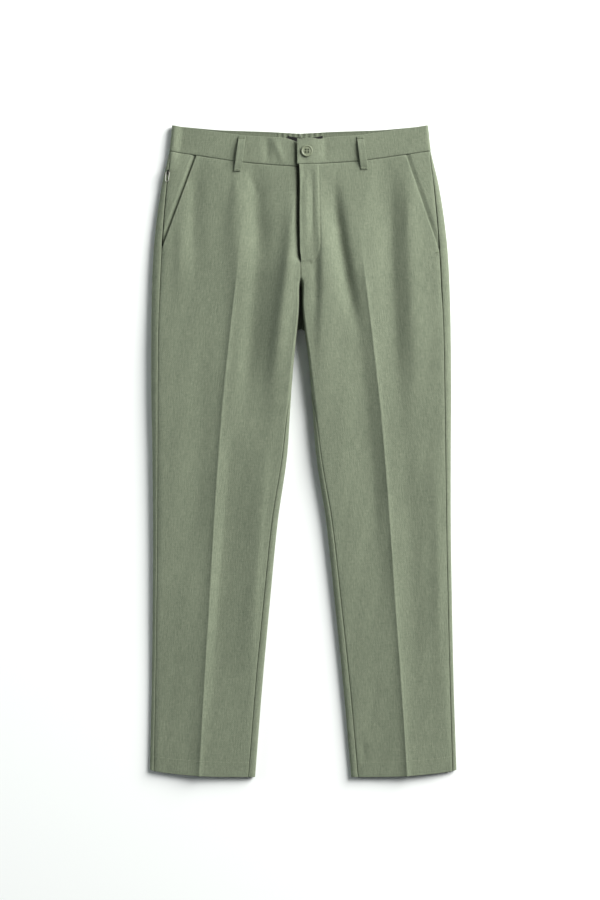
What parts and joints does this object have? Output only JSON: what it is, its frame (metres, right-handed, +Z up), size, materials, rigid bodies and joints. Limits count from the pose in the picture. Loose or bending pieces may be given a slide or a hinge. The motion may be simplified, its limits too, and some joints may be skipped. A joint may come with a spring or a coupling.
{
  "type": "dress trousers",
  "caption": "Adult dress trousers in sage green cloth lying flat: pressed leg creases, slant pockets, belt loops, a button and fly at the waist and a zip in one side seam",
  "frame": {"origin": "centre of the garment's footprint, on the surface it lies on", "axes": "+Y points from the hems to the waist, +Z points up out of the front of the garment, and +X points to the wearer's left"},
  "size_m": [0.4913, 1.0453, 0.033],
  "materials": {
    "cloth": "fine heathered weave, matt, sage green",
    "button": "satin, dyed to match the cloth",
    "label": "woven tape, black, bare",
    "zip_tape": "woven zip tape, matt, dark green",
    "zip_metal": "plated zinc, satin"
  },
  "bodies": {
    "garment": {"front_right": "cloth", "front_left": "cloth", "back_right": "cloth", "back_left": "cloth", "waistband_right": "cloth", "waistband_left": "cloth", "pocket_facing_right": "cloth", "pocket_facing_left": "cloth", "belt_loop_front_right": "cloth", "belt_loop_front_left": "cloth", "belt_loop_back_right": "cloth", "belt_loop_back_centre": "cloth", "belt_loop_back_left": "cloth", "waist_button": "button", "inner_label": "label", "fly_zip": "zip_tape", "side_zip_tape": "zip_tape", "side_zip_slider": "zip_metal"},
    "zip_pull": {"side_zip_pull": "zip_metal"}
  },
  "joints": [
    {"name": "zip_pull_hinge", "type": "hinge", "parent": "garment", "child": "zip_pull", "pos_m": [-0.21663, 0.44664, 0.01516], "axis": [-0.9699, 0.1219, -0.2108], "range_deg": [0, 160]}
  ]
}
